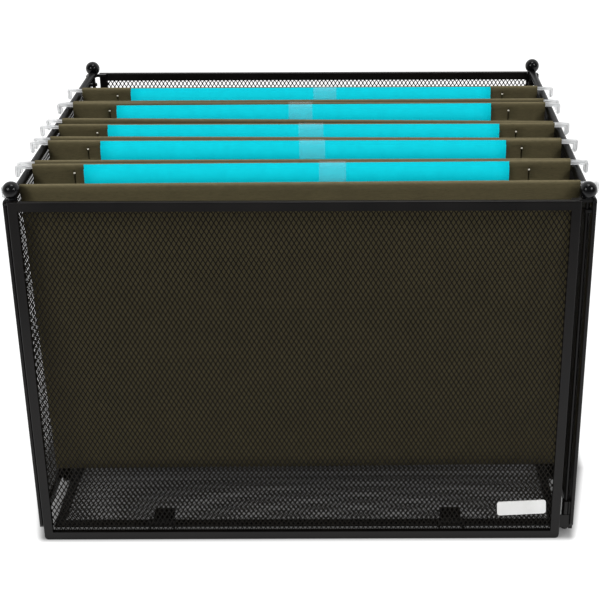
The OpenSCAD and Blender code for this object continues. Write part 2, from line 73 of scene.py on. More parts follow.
def colour(text):
    """Linear colour of an sRGB hex value, opaque."""
    parts = [int(text[i:i + 2], 16) / 255 for i in (1, 3, 5)]
    return [p / 12.92 if p <= 0.04045 else ((p + 0.055) / 1.055) ** 2.4 for p in parts] + [1.0]


def add(tree, kind, links=(), **settings):
    """Adds a node. A setting names one of the node's own properties, or an input by its name with
    spaces as underscores, or by its number after i. links pairs an input with an output."""
    node = tree.nodes.new(kind)
    for key, value in settings.items():
        if hasattr(node, key):
            setattr(node, key, value)
    for key, value in settings.items():
        if not hasattr(node, key):
            socket_of(node, key).default_value = value
    for key, output in dict(links).items():
        tree.links.new(output, socket_of(node, key))
    return node


def socket_of(node, key):
    if key[0] == "i" and key[1:].isdigit():
        return node.inputs[int(key[1:])]
    return node.inputs[key.replace("_", " ")]


def per_mm(size):
    """Texture scale at which one feature measures size millimetres."""
    return 1 / (size * MM)


def new_material(name):
    material = bpy.data.materials.new(name)
    material.use_nodes = True
    tree = material.node_tree
    tree.nodes.clear()
    shader = add(tree, "ShaderNodeBsdfPrincipled")
    add(tree, "ShaderNodeOutputMaterial", {"Surface": shader.outputs[0]})
    place = add(tree, "ShaderNodeTexCoord").outputs["Object"]
    return material, tree, shader, place


def stretched(tree, place, sizes):
    """Object coordinates divided by three feature sizes in millimetres."""
    return add(tree, "ShaderNodeMapping", {"Vector": place},
               Scale=[per_mm(s) for s in sizes]).outputs[0]


def ramp(tree, factor, low, high, start=0.3, end=0.7):
    """Blends two colours where factor runs from start to end."""
    node = add(tree, "ShaderNodeValToRGB", {"Fac": factor})
    node.color_ramp.elements[0].position = start
    node.color_ramp.elements[1].position = end
    node.color_ramp.elements[0].color = low
    node.color_ramp.elements[1].color = high
    return node.outputs[0]


def spread(tree, factor, low, high):
    """Maps a factor of 0.25 to 0.75, a noise's usual spread, to low and high."""
    return add(tree, "ShaderNodeMapRange", {"Value": factor}, From_Min=0.25, From_Max=0.75,
               To_Min=low, To_Max=high).outputs[0]


def bump(tree, shader, height, depth, strength):
    node = add(tree, "ShaderNodeBump", {"Height": height}, Distance=depth * MM, Strength=strength)
    tree.links.new(node.outputs[0], shader.inputs["Normal"])


# ------------------------------------------------------------------ materials


def powder_coated_steel(name, shade, roughness, grain, gloss):
    """Satin powder coat, sprayed and baked: near black, with the faint orange peel of the melted
    powder and a sheen that wanders a little over a few centimetres."""
    material, tree, shader, place = new_material(name)
    peel = add(tree, "ShaderNodeTexNoise", {"Vector": place}, Scale=per_mm(grain), Detail=2.0)
    drift = add(tree, "ShaderNodeTexNoise", {"Vector": place}, Scale=per_mm(38), Detail=3.0)
    tone = ramp(tree, drift.outputs[0], colour(shade[0]), colour(shade[1]))
    tree.links.new(tone, shader.inputs["Base Color"])
    tree.links.new(spread(tree, drift.outputs[0], roughness - 0.05, roughness + 0.05),
                   shader.inputs["Roughness"])
    shader.inputs["Specular IOR Level"].default_value = gloss
    bump(tree, shader, peel.outputs[0], 0.02, 0.5)
    return material


def olive_pressboard():
    """Hanging-folder pressboard, calendered and uncoated: long matted fibres that lie along the
    folder's width, a mottled tone, and a painted highlight of paler fibres at the hem's top."""
    material, tree, shader, place = new_material("olive_pressboard")
    fibres = add(tree, "ShaderNodeTexNoise", {"Vector": stretched(tree, place, (3.6, 3.6, 0.8))},
                 Scale=1.0, Detail=4.0, Roughness=0.7)
    mottle = add(tree, "ShaderNodeTexNoise", {"Vector": place}, Scale=per_mm(14), Detail=4.0)
    flecks = add(tree, "ShaderNodeTexNoise", {"Vector": stretched(tree, place, (2.4, 2.4, 0.8))},
                 Scale=1.0, Detail=1.0)
    tone = ramp(tree, fibres.outputs[0], colour("#4b4530"), colour("#575039"))
    cloud = ramp(tree, mottle.outputs[0], (0.93, 0.93, 0.93, 1), (1.06, 1.06, 1.05, 1))
    tone = add(tree, "ShaderNodeMix", {"i6": tone, "i7": cloud}, data_type="RGBA",
               blend_type="MULTIPLY", i0=1.0).outputs[2]
    fleck = ramp(tree, flecks.outputs[0], (1, 1, 1, 1), (0.72, 0.71, 0.66, 1), 0.66, 0.74)
    tone = add(tree, "ShaderNodeMix", {"i6": tone, "i7": fleck}, data_type="RGBA",
               blend_type="MULTIPLY", i0=0.7).outputs[2]
    # Painted highlight: fibres paler towards the hem's top, for the light on its rounded edge
    height = add(tree, "ShaderNodeSeparateXYZ", {"Vector": place}).outputs["Z"]
    hem_highlight = add(tree, "ShaderNodeMapRange", {"Value": height}, From_Min=(FOLDER_TOP - HEM_HIGHLIGHT_H) * MM,
              From_Max=FOLDER_TOP * MM, To_Min=0.0, To_Max=0.55).outputs[0]
    hem_highlight = add(tree, "ShaderNodeMath", {"i0": hem_highlight, "i1": spread(tree, fibres.outputs[0], 0.6, 1.1)},
              operation="MULTIPLY").outputs[0]
    tone = add(tree, "ShaderNodeMix", {"i0": hem_highlight, "i6": tone}, data_type="RGBA",
               i7=colour("#7d745a")).outputs[2]
    # Pale core where the board is torn at a slit
    torn = add(tree, "ShaderNodeAttribute", attribute_name="torn").outputs["Fac"]
    tone = add(tree, "ShaderNodeMix", {"i0": torn, "i6": tone}, data_type="RGBA",
               i7=colour("#e4dfcf")).outputs[2]
    tree.links.new(tone, shader.inputs["Base Color"])
    shader.inputs["Roughness"].default_value = 0.9
    shader.inputs["Specular IOR Level"].default_value = 0.15
    bump(tree, shader, fibres.outputs[0], 0.12, 0.6)
    return material


def frosted_polypropylene():
    """Moulded polypropylene rods with a frosted skin: milky, a little light passes through."""
    material, tree, shader, place = new_material("frosted_polypropylene")
    haze = add(tree, "ShaderNodeTexNoise", {"Vector": place}, Scale=per_mm(3), Detail=2.0)
    tree.links.new(ramp(tree, haze.outputs[0], colour("#f4f6f7"), colour("#fdfdfd")),
                   shader.inputs["Base Color"])
    shader.inputs["Roughness"].default_value = 0.3
    shader.inputs["IOR"].default_value = 1.49
    shader.inputs["Transmission Weight"].default_value = 0.75
    bump(tree, shader, haze.outputs[0], 0.03, 0.4)
    return material


def cyan_card():
    """Smooth dyed card: even cyan through its thickness, with a faint fibre cloud."""
    material, tree, shader, place = new_material("cyan_card")
    cloud = add(tree, "ShaderNodeTexNoise", {"Vector": place}, Scale=per_mm(7), Detail=5.0)
    grain = add(tree, "ShaderNodeTexNoise", {"Vector": stretched(tree, place, (1.6, 1.6, 0.5))},
                Scale=1.0, Detail=2.0)
    tree.links.new(ramp(tree, cloud.outputs[0], colour("#00bfd0"), colour("#02c6d6")),
                   shader.inputs["Base Color"])
    shader.inputs["Specular IOR Level"].default_value = 0.05
    tree.links.new(spread(tree, cloud.outputs[0], 0.52, 0.62), shader.inputs["Roughness"])
    bump(tree, shader, grain.outputs[0], 0.03, 0.5)
    return material


def clear_tape():
    """Cast acrylic tape, clear and faintly hazed, with fine drag lines along it."""
    material, tree, shader, place = new_material("clear_tape")
    drag = add(tree, "ShaderNodeTexNoise", {"Vector": stretched(tree, place, (0.8, 5, 5))},
               Scale=1.0, Detail=2.0)
    shader.inputs["Base Color"].default_value = colour("#d2e2ea")
    shader.inputs["Roughness"].default_value = 0.28
    shader.inputs["Alpha"].default_value = 0.06
    bump(tree, shader, drag.outputs[0], 0.06, 0.6)
    return material


def white_plastic():
    """Injection-moulded white plastic with a fine spark-eroded grain."""
    material, tree, shader, place = new_material("white_plastic")
    grain = add(tree, "ShaderNodeTexNoise", {"Vector": place}, Scale=per_mm(0.35), Detail=1.0)
    soil = add(tree, "ShaderNodeTexNoise", {"Vector": place}, Scale=per_mm(16), Detail=3.0)
    tree.links.new(ramp(tree, soil.outputs[0], colour("#dcdcda"), colour("#e9e9e8")),
                   shader.inputs["Base Color"])
    shader.inputs["Roughness"].default_value = 0.38
    bump(tree, shader, grain.outputs[0], 0.01, 0.4)
    return material


# ------------------------------------------------------------------ folders, as the frame has them

WALL_IN_Y = 161.0
FOLDER_TOP, FOLDER_BOTTOM = 276.05, 42.05
FOLDER_W = 378.4
ROD_FOOT, ROD_H = 272.3, 2.7
HEM_HIGHLIGHT_H = 2.4            # how far down from the hem's top the painted highlight reaches
# Of each folder, front to back: its mouth from rod to rod, the gap before it, its turn in degrees
OPENINGS = (42.5, 45.3, 34.2, 43.6, 38.3)
GAPS = (13.0, 5.4, 5.8, 10.0, 10.5)
TURNS = (0.65, 0.0, -0.55, -0.5, 0.4)
# How much further back each folder's front and back flap hang at the right end than its turn
# gives, and the same for the card that leans on the back flap
TWISTS = ((0.26, 0.41), (0.15, -0.65), (-2.0, 1.7), (-4.2, 0.0), (0.38, -0.35))
CARD_TWISTS = (0.41, -0.65, 1.7, 3.7, -0.35)
# How far back each back flap is pushed at its rod, away from its card
PUSHES = (0.0, 0.0, 0.0, 3.6, 0.0)
# How far each front and back rod lies to the right on the rails
ROD_SHIFTS = ((0.0, 0.2), (0.0, -0.9), (0.0, -1.8), (0.0, -0.35), (0.0, 0.35))
INSERT_SHIFTS = (-3.6, -1.1, -2.3, -3.6, 0.7)
TAPE_SHIFTS = (25.0, 6.7, 5.7, -2.8, 11.7)
FOLD_BACK = 20.0          # from the front rod's middle back to the fold
INSERT_W = 298.5
COUNT = len(OPENINGS)


def front_flap(k):
    return -WALL_IN_Y + sum(OPENINGS[:k]) + sum(GAPS[:k + 1])


def back_flap(k):
    return front_flap(k) + OPENINGS[k]


def askew(k):
    """The small turn at which folder k hangs, about the middle of its mouth."""
    middle = Vector((0, (front_flap(k) + back_flap(k)) / 2, 0))
    return (Matrix.Translation(middle) @ Matrix.Rotation(math.radians(TURNS[k]), 4, "Z")
            @ Matrix.Translation(-middle))


def above_fold(z):
    """0 at a folder's fold, 1 at the top of its hems."""
    return min(1, max(0, (z - FOLDER_BOTTOM) / (FOLDER_TOP - FOLDER_BOTTOM)))


def twist(k, behind, x, z):
    """How far back a flap's own twist and push move a point: not at the fold, fully at the top."""
    push = PUSHES[k] if behind else 0
    return (TWISTS[k][behind] * x / (FOLDER_W / 2) + push) * above_fold(z)


def card_twist(k, x, z):
    return CARD_TWISTS[k] * x / (FOLDER_W / 2) * above_fold(z)


# ------------------------------------------------------------------ making pieces

# Four grades of the coat, each matched to the photo: on frames, hinges and corner rods, on the
# rails, on the nets, and on the balls
STEEL = powder_coated_steel("powder_coated_steel", ("#0a0909", "#110f0e"),
                            roughness=0.32, grain=0.7, gloss=0.22)
# Painted shade: the rails' coat is darker and less glossy, standing in for the dark room they
# reflect
RAIL_STEEL = powder_coated_steel("powder_coated_rail", ("#070707", "#0c0b0b"),
                                 roughness=0.36, grain=0.7, gloss=0.06)
# Painted light: the nets' coat is lighter, standing in for the light their strands catch
NET_STEEL = powder_coated_steel("powder_coated_net", ("#0f0d0a", "#17140f"),
                                roughness=0.4, grain=0.5, gloss=0.12)
BALL_STEEL = powder_coated_steel("enamelled_ball", ("#060607", "#0b0b0c"),
                                 roughness=0.2, grain=1.2, gloss=0.28)
BOARD = olive_pressboard()
ROD = frosted_polypropylene()
CARD = cyan_card()
TAPE = clear_tape()
PLATE = white_plastic()


def finish_piece(name, mesh, body, replaced, material=None):
    """Links a mesh in millimetres as a piece of the object, in metres, and hands it to its body."""
    mesh.transform(Matrix.Scale(MM, 4))
    if material:
        mesh.materials.clear()
        mesh.materials.append(material)
    piece = bpy.data.objects.new(name, mesh)
    bpy.context.scene.collection.objects.link(piece)
    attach(piece, body)
    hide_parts(*replaced)
    return piece


def evaluated(mesh, modifiers):
    """The mesh after modifiers, each given as its kind and its settings."""
    work = bpy.data.objects.new("work", mesh)
    bpy.context.scene.collection.objects.link(work)
    for kind, settings in modifiers:
        modifier = work.modifiers.new(kind.lower(), kind)
        for key, value in settings.items():
            if key.startswith("Socket_"):
                modifier[key] = value
            else:
                setattr(modifier, key, value)
    graph = bpy.context.evaluated_depsgraph_get()
    result = bpy.data.meshes.new_from_object(work.evaluated_get(graph), depsgraph=graph)
    bpy.data.objects.remove(work)
    return result


def mesh_of(name, points, faces, smooth=True):
    mesh = bpy.data.meshes.new(name)
    mesh.from_pydata([tuple(p) for p in points], [], faces)
    mesh.update()
    mesh.polygons.foreach_set("use_smooth", [smooth] * len(mesh.polygons))
    return mesh


def grid_faces(columns, rows, skip=()):
    """Faces of a grid of points stored column by column."""
    return [
        (c * rows + r, (c + 1) * rows + r, (c + 1) * rows + r + 1, c * rows + r + 1)
        for c in range(columns - 1) for r in range(rows - 1) if (c, r) not in skip
    ]


# ------------------------------------------------------------------ expanded nets

NET_PITCH = 3.46          # across one diamond
NET_RISE = 2.95           # from one row of diamonds to the next, half of a diamond's height
NET_THICK = 0.55
GROOVE_REACH = 2.7        # how far a net runs into its frame's groove
WELD = 0.02               # corners of links closer than this are one


def net_link(pitch, rise):
    """One diamond link. Its strands have a lens-shaped section, and its hole is blunt at the sides,
    where the slit metal stays joined. The outer corners meet those of the neighbours."""
    half, top = pitch / 2, rise
    hole_x, hole_z, blunt = 0.63 * half, 0.7 * top, 0.108 * top
    ring = [(half, 0), (0, top), (-half, 0), (0, -top)]
    hole = [(hole_x, blunt), (0, hole_z), (-hole_x, blunt),
            (-hole_x, -blunt), (0, -hole_z), (hole_x, -blunt)]
    t = NET_THICK / 2
    points = ([(x, z, t) for x, z in ring] + [(x, z, -t) for x, z in ring]
              + [(x, z, 0) for x, z in hole])
    front = [(0, 1, 9, 8), (1, 2, 10, 9), (2, 3, 12, 11), (3, 0, 13, 12), (0, 8, 13), (2, 11, 10)]
    back = [tuple((i + 4 if i < 4 else i) for i in reversed(face)) for face in front]
    return mesh_of("link", points, front + back)


def net_tree():
    """Geometry Nodes: sets the link on a brick pattern of points, welds the corners that meet,
    closes the border and gives the material."""
    tree = bpy.data.node_groups.new("expanded_net", "GeometryNodeTree")
    face = tree.interface
    face.new_socket("Geometry", in_out="INPUT", socket_type="NodeSocketGeometry")
    sockets = {}
    for name, kind in (("Columns", "Int"), ("Rows", "Int"), ("Pitch", "Float"), ("Rise", "Float"),
                       ("Thickness", "Float"), ("Material", "Material")):
        sockets[name] = face.new_socket(name, in_out="INPUT", socket_type="NodeSocket" + kind)
    face.new_socket("Geometry", in_out="OUTPUT", socket_type="NodeSocketGeometry")
    given = add(tree, "NodeGroupInput").outputs

    def calc(operation, a, b):
        links, numbers = {}, {}
        for key, value in (("i0", a), ("i1", b)):
            (numbers if isinstance(value, (int, float)) else links)[key] = value
        return add(tree, "ShaderNodeMath", links, operation=operation, **numbers).outputs[0]

    wide = calc("MULTIPLY", calc("SUBTRACT", given["Columns"], 1), given["Pitch"])
    high = calc("MULTIPLY", calc("SUBTRACT", given["Rows"], 1), given["Rise"])
    grid = add(tree, "GeometryNodeMeshGrid", {
        "Size_X": wide, "Size_Y": high,
        "Vertices_X": given["Columns"], "Vertices_Y": given["Rows"]})
    place = add(tree, "ShaderNodeSeparateXYZ",
                {"Vector": add(tree, "GeometryNodeInputPosition").outputs[0]})
    from_first = calc("ADD", place.outputs["Y"], calc("MULTIPLY", high, 0.5))
    row = calc("DIVIDE", from_first, given["Rise"])
    odd = calc("FLOORED_MODULO", calc("ROUND", row, 0), 2)
    # Every other row moves half a pitch, and the whole pattern a quarter back
    shift = calc("MULTIPLY", calc("SUBTRACT", calc("MULTIPLY", odd, 0.5), 0.25), given["Pitch"])
    shift = add(tree, "ShaderNodeCombineXYZ", {"X": shift}).outputs[0]
    points = add(tree, "GeometryNodeSetPosition", {"Geometry": grid.outputs[0], "Offset": shift})
    links = add(tree, "GeometryNodeInstanceOnPoints",
                {"Points": points.outputs[0], "Instance": given["Geometry"]})
    links = add(tree, "GeometryNodeRealizeInstances", {"Geometry": links.outputs[0]})
    weld = add(tree, "GeometryNodeMergeByDistance", {"Geometry": links.outputs[0]}, Distance=WELD)
    alone = add(tree, "FunctionNodeCompare", {
        "i2": add(tree, "GeometryNodeInputMeshEdgeNeighbors").outputs[0]},
        data_type="INT", operation="EQUAL", i3=1).outputs[0]
    depth = add(tree, "ShaderNodeSeparateXYZ",
                {"Vector": add(tree, "GeometryNodeInputPosition").outputs[0]}).outputs["Z"]
    in_front = calc("GREATER_THAN", depth, 0)
    border = add(tree, "FunctionNodeBooleanMath", {"i0": alone, "i1": in_front},
                 operation="AND").outputs[0]
    back = calc("MULTIPLY", given["Thickness"], -1)
    down = add(tree, "ShaderNodeCombineXYZ", {"Z": back}).outputs[0]
    closed = add(tree, "GeometryNodeExtrudeMesh",
                 {"Mesh": weld.outputs[0], "Selection": border, "Offset": down},
                 mode="EDGES", Offset_Scale=1.0)
    closed = add(tree, "GeometryNodeMergeByDistance", {"Geometry": closed.outputs[0]},
                 Distance=WELD)
    coated = add(tree, "GeometryNodeSetMaterial",
                 {"Geometry": closed.outputs[0], "Material": given["Material"]})
    add(tree, "NodeGroupOutput", {"Geometry": coated.outputs[0]})
    return tree, {name: socket.identifier for name, socket in sockets.items()}


NET_TREE, NET_SOCKETS = net_tree()
TURN_UP = Matrix.Rotation(math.radians(90), 4, "X")


def expanded_net(name, body, node, window_w, window_h, place, pitch, rise):
    """A net that fills a frame's window and ends in its groove. Pitch and rise are eased so that
    whole diamonds fit."""
    columns = round((window_w + 2 * GROOVE_REACH) / pitch - 0.5)
    rows = round((window_h + 2 * GROOVE_REACH) / rise) - 1
    pitch = (window_w + 2 * GROOVE_REACH) / (columns + 0.5)
    rise = (window_h + 2 * GROOVE_REACH) / (rows + 1)
    values = {"Columns": columns, "Rows": rows, "Pitch": pitch, "Rise": rise,
              "Thickness": NET_THICK, "Material": NET_STEEL}
    settings = {NET_SOCKETS[key]: value for key, value in values.items()}
    mesh = evaluated(net_link(pitch, rise), [("NODES", {"node_group": NET_TREE, **settings})])
    mesh.transform(place)
    return finish_piece(name, mesh, body, [node])


END_WINDOW = (370.6, 254.8)
SIDE_WINDOW = (311.0, 244.95)
FLOOR_WINDOW = (364.0, 304.0)
END_MIDDLE_X, END_MIDDLE_Z = -3.6, 134.0
END_NET_Y = 163.0
SIDE_NET_X = 197.4
SIDE_MIDDLE_Z = 138.175
FLOOR_NET_Z = 7.9
QUARTER = Matrix.Rotation(math.radians(90), 4, "Z")
HALF = Matrix.Rotation(math.radians(180), 4, "Z")

# The floor's net is coarser than the others, to stay within a piece's budget of triangles
FLOOR_PITCH_SHARE, FLOOR_RISE_SHARE = 1.09, 1.05

expanded_net("net_front", "frame", "front_net", *END_WINDOW,
             Matrix.Translation((END_MIDDLE_X, -END_NET_Y, END_MIDDLE_Z)) @ TURN_UP,
             NET_PITCH, NET_RISE)
expanded_net("net_back", "frame", "back_net", *END_WINDOW,
             Matrix.Translation((-END_MIDDLE_X, END_NET_Y, END_MIDDLE_Z)) @ HALF @ TURN_UP,
             NET_PITCH, NET_RISE)
expanded_net("net_left", "frame", "left_net", *SIDE_WINDOW,
             Matrix.Translation((-SIDE_NET_X, 0, SIDE_MIDDLE_Z)) @ QUARTER.inverted() @ TURN_UP,
             NET_PITCH, NET_RISE)
expanded_net("net_right", "frame", "right_net", *SIDE_WINDOW,
             Matrix.Translation((SIDE_NET_X, 0, SIDE_MIDDLE_Z)) @ QUARTER @ TURN_UP,
             NET_PITCH, NET_RISE)
expanded_net("net_floor", "floor", "floor_net", *FLOOR_WINDOW,
             Matrix.Translation((0, 0, FLOOR_NET_Z)),
             NET_PITCH * FLOOR_PITCH_SHARE, NET_RISE * FLOOR_RISE_SHARE)

# ------------------------------------------------------------------ hanging folders

SHEET_T = 0.5
HEM_H = 15.2              # ends just below the slits' foot, so that it can close one from behind
HEM_R = 1.05              # of the loop round the rod, to the middle of the sheet
HEM_OUT = HEM_R + SHEET_T / 2
FOLD_HALF = 1.5           # half the width of the flat fold
FLAP_STEPS = 22           # from hem to fold
BOARD_STEPS = 36          # across the folder
BELLY = 0.9               # how far the flaps' waves swell
SLIT_IN = 29.2            # from the side edge to the slit
SLIT_W = 1.0
SLIT_TOP, SLIT_FOOT = 271.2, 261.2
TIE_Z, TIE_H = 269.4, 0.9


def hem_profile(y):
    """A loop round the rod at y, from the hem's free edge behind the flap, over the top and down to
    the flap's face, along the middle of the sheet."""
    crown = FOLDER_TOP - SHEET_T / 2 - HEM_R
    free = [(y + 0.85, FOLDER_TOP - HEM_H), (y + 0.95, FOLDER_TOP - HEM_H + 1.6),
            (y + HEM_R, SLIT_FOOT + 5.6), (y + HEM_R, SLIT_TOP - 1.2),
            (y + HEM_R, SLIT_TOP), (y + HEM_R, SLIT_TOP + 2)]
    arc = [(y + HEM_R * math.cos(a), crown + HEM_R * math.sin(a))
           for a in (math.radians(d) for d in range(0, 181, 30))]
    main = [(y - HEM_R, SLIT_TOP + 2), (y - HEM_R, SLIT_TOP),
            (y - 0.85, SLIT_TOP - 1.2), (y - 0.3, SLIT_FOOT + 5.6),
            (y - 0.2, SLIT_FOOT + 1.6), (y - 0.2, SLIT_FOOT)]
    return free + arc + main


def between(a, b, count):
    return [(a[0] + (b[0] - a[0]) * n / count, a[1] + (b[1] - a[1]) * n / count)
            for n in range(1, count)]


def folder_profile(k):
    """Section of folder k from the front hem's free edge to the back hem's."""
    yf, yb = front_flap(k), back_flap(k)
    fold = yf + FOLD_BACK
    low = FOLDER_BOTTOM + SHEET_T / 2
    front = hem_profile(yf)
    back = hem_profile(yb)[::-1]
    fold_front, fold_back = (fold - FOLD_HALF, low), (fold + FOLD_HALF, low)
    down = between(front[-1], fold_front, FLAP_STEPS)
    up = between(fold_back, back[0], FLAP_STEPS)
    return front + down + [fold_front, fold_back] + up + back


def smooth_wave(seed, count):
    """A few low waves across the folder with fixed random phases."""
    dice = random.Random(seed)
    waves = [(dice.uniform(0.5, 1.0) / (n + 1), dice.uniform(0, math.tau), n + 1)
             for n in range(count)]
    return lambda u: sum(a * math.sin(math.pi * n * u + p) for a, p, n in waves)


def add_ties(mesh, k, places):
    """A small torn bridge of board left across each slit, marked by the attribute torn."""
    work = bmesh.new()
    work.from_mesh(mesh)
    torn = work.verts.layers.float.new("torn")
    for x in places:
        middle = Vector((x, back_flap(k) - HEM_R + twist(k, True, x, TIE_Z), TIE_Z))
        size = Matrix.Diagonal((SLIT_W + 0.3, SHEET_T + 0.2, TIE_H, 1))
        tie = bmesh.ops.create_cube(work, matrix=Matrix.Translation(middle) @ size)
        for vertex in tie["verts"]:
            vertex[torn] = 1.0
    work.to_mesh(mesh)
    work.free()


def folder_board(k):
    """Pressboard folded to a V, with a hem looped round each rod and a slit near each side edge of
    the back flap. The flaps belly a little between rod and fold."""
    profile = folder_profile(k)
    half = FOLDER_W / 2
    slits = [s * (half - SLIT_IN) + e * SLIT_W / 2 for s in (-1, 1) for e in (-1, 1)]
    even = [-half + FOLDER_W * n / BOARD_STEPS for n in range(BOARD_STEPS + 1)]
    stations = sorted(set(even + slits))
    stations = [x for x in stations
                if x in slits or min(abs(x - s) for s in slits) > 2 or abs(x) == half]
    belly_front, belly_back = smooth_wave(10 + k, 3), smooth_wave(50 + k, 3)
    fold = front_flap(k) + FOLD_BACK
    points = []
    for x in stations:
        u = x / half
        for y, z in profile:
            share = (z - FOLDER_BOTTOM) / (SLIT_FOOT - FOLDER_BOTTOM)
            swell = math.sin(math.pi * min(1, max(0, share)))
            behind = y >= fold
            wave = belly_back(u) if behind else belly_front(u)
            points.append((x, y + swell * BELLY * wave + twist(k, behind, x, z), z))
    rows = len(profile)
    # Back flap: both layers of the hem are cut at a slit. The rear folder's slits are dark in the
    # photo although only the back net is behind them, so there the hem's rear layer is whole.
    through = k < COUNT - 1
    cut_rows = [r for r in range(rows - 1)
                if r > rows // 2
                and all(SLIT_FOOT - 0.01 <= profile[i][1] <= SLIT_TOP + 0.01
                        and (through or profile[i][0] < back_flap(k)) for i in (r, r + 1))]
    cut_columns = [c for c in range(len(stations) - 1)
                   if stations[c] in slits and stations[c + 1] in slits]
    skip = {(c, r) for c in cut_columns for r in cut_rows}
    mesh = mesh_of("board", points, grid_faces(len(stations), rows, skip))
    mesh = evaluated(mesh, [
        ("SOLIDIFY", {"thickness": SHEET_T, "offset": 0.0, "use_even_offset": True})])
    add_ties(mesh, k, [s * (half - SLIT_IN) for s in (-1, 1)])
    mesh.transform(askew(k))
    return finish_piece(f"folder_{k + 1}_board", mesh, f"folder_{k + 1}",
                        [f"folder_{k + 1}_sheet"], BOARD)


TIP_X = 200.2             # middle of the hook's downward limb
TIP_HALF = 1.6
HOOK_LOW = 266.3
BEND_OUT, BEND_IN = 1.9, 0.3
TAPER_W, TAPER_THIN = 1.8, 0.75    # where the hook is narrower, it thins to this share at its tip


def rod_section(half):
    """Outline of the rod's section: u across its height with + at the top, v across its thickness.
    A lip runs along the top above a shallow groove."""
    lip, groove, web = 0.68, 0.36, 0.58
    side = [(half, lip - 0.3), (half - 0.25, lip), (half - 0.75, lip), (half - 0.95, groove),
            (half - 1.25, groove), (half - 1.45, web), (-half + 0.3, web), (-half, web - 0.3)]
    return side + [(u, -v) for u, v in reversed(side)]


def rod_path():
    """Half of the rod from its middle to a hook's tip, as pairs of points on its upper and lower
    edge, which become the hook's outer and inner edge."""
    top, end = ROD_FOOT + ROD_H, HOOK_LOW + TIP_HALF
    out_x, in_x = TIP_X + TIP_HALF, TIP_X - TIP_HALF
    steps = [((x, top), (x, ROD_FOOT)) for x in (0, 60, 120, 180, 190, in_x - BEND_IN - 1)]
    for n in range(7):
        a = math.radians(15 * n)
        steps.append(tuple(
            (x - bend + bend * math.sin(a), z - bend + bend * math.cos(a))
            for x, z, bend in ((out_x, top, BEND_OUT), (in_x, ROD_FOOT, BEND_IN))))
    for b in (math.radians(d) for d in (0, 20, 40, 58, 72, 83)):
        reach, z = TIP_HALF * math.cos(b), end - TIP_HALF * math.sin(b)
        steps.append(((TIP_X + reach, z), (TIP_X - reach, z)))
    return steps


def folder_rod(k, which):
    """Moulded rod, swept along its line and turned down into a hook at each end."""
    behind = which == "back"
    y = back_flap(k) if behind else front_flap(k)
    half_path = rod_path()
    path = [((-a[0], a[1]), (-b[0], b[1])) for a, b in reversed(half_path[1:])] + half_path
    section = rod_section(ROD_H / 2)
    rings = []
    for (upper_x, upper_z), (lower_x, lower_z) in path:
        width = math.hypot(upper_x - lower_x, upper_z - lower_z)
        thin = 1.0 if width > TAPER_W else TAPER_THIN + (1 - TAPER_THIN) * width / TAPER_W
        ring = []
        for u, v in section:
            share = u / ROD_H + 0.5
            x = lower_x + (upper_x - lower_x) * share
            z = lower_z + (upper_z - lower_z) * share
            moved_y = y + v * thin + twist(k, behind, x, FOLDER_TOP)
            ring.append((x + ROD_SHIFTS[k][behind], moved_y, z))
        rings.append(ring)
    count = len(rings[0])
    points = [p for ring in rings for p in ring]
    faces = [(r * count + i, r * count + (i + 1) % count, (r + 1) * count + (i + 1) % count,
              (r + 1) * count + i) for r in range(len(rings) - 1) for i in range(count)]
    faces += [tuple(range(count))[::-1], tuple(range((len(rings) - 1) * count, len(rings) * count))]
    mesh = mesh_of("rod", points, faces)
    work = bmesh.new()
    work.from_mesh(mesh)
    bmesh.ops.recalc_face_normals(work, faces=work.faces)
    work.to_mesh(mesh)
    work.free()
    mesh.transform(askew(k))
    return finish_piece(f"folder_{k + 1}_{which}_rod_frosted", mesh, f"folder_{k + 1}",
                        [f"folder_{k + 1}_{which}_rod"], ROD)


CARD_T = 0.5
INSERT_TOP = FOLDER_TOP - 0.2
FRONT_LEAF_TOP = FOLDER_TOP - 3.0
INSERT_FOOT = FOLDER_BOTTOM + 8.0
LEAF_T = 0.6              # room that a leaf takes up
LEAF_GAP = 1.1            # between the two leaves at the top
HEM_GAP = 0.4             # between the back hem and the back leaf
CARD_BOW = 0.5


def insert_lines(k):
    """Where the two leaves of insert k stand at the top: centre of the back and the front leaf."""
    back = back_flap(k) - HEM_OUT - HEM_GAP - LEAF_T / 2
    return back, back - LEAF_T - LEAF_GAP


def insert_card(k):
    """Card folded once, two leaves that bow slightly, standing in the folder's fold."""
    back, front = insert_lines(k)
    fold = front_flap(k) + FOLD_BACK
    half = INSERT_W / 2
    bow = smooth_wave(90 + k, 2)
    leaf_rows = 20
    profile = [(front, FRONT_LEAF_TOP)]
    profile += between(profile[0], (fold - 0.35, INSERT_FOOT + 1), leaf_rows)
    profile += [(fold - 0.3, INSERT_FOOT + 0.5), (fold, INSERT_FOOT + CARD_T / 2),
                (fold + 0.3, INSERT_FOOT + 0.5)]
    profile += between((fold + 0.35, INSERT_FOOT + 1), (back, INSERT_TOP), leaf_rows)
    profile += [(back, INSERT_TOP)]
    points = []
    columns = 25
    for n in range(columns):
        u = -1 + 2 * n / (columns - 1)
        for y, z in profile:
            share = (z - INSERT_FOOT) / (INSERT_TOP - INSERT_FOOT)
            x = u * half + INSERT_SHIFTS[k]
            y += CARD_BOW * bow(u) * math.sin(math.pi * share) + card_twist(k, x, z)
            points.append((x, y, z))
    mesh = mesh_of("card", points, grid_faces(columns, len(profile)))
    mesh.transform(askew(k))
    mesh = evaluated(mesh, [("SOLIDIFY", {"thickness": CARD_T, "offset": 0.0})])
    return finish_piece(f"insert_{k + 1}_card", mesh, f"folder_{k + 1}",
                        [f"insert_{k + 1}"], CARD)


TAPE_W = 19.0
TAPE_T = 0.06
TAPE_DROP = 13.0
TAPE_OFF = 0.12           # from what it sticks to, to its middle
TOOTH = 0.45
PUCKER = 0.12


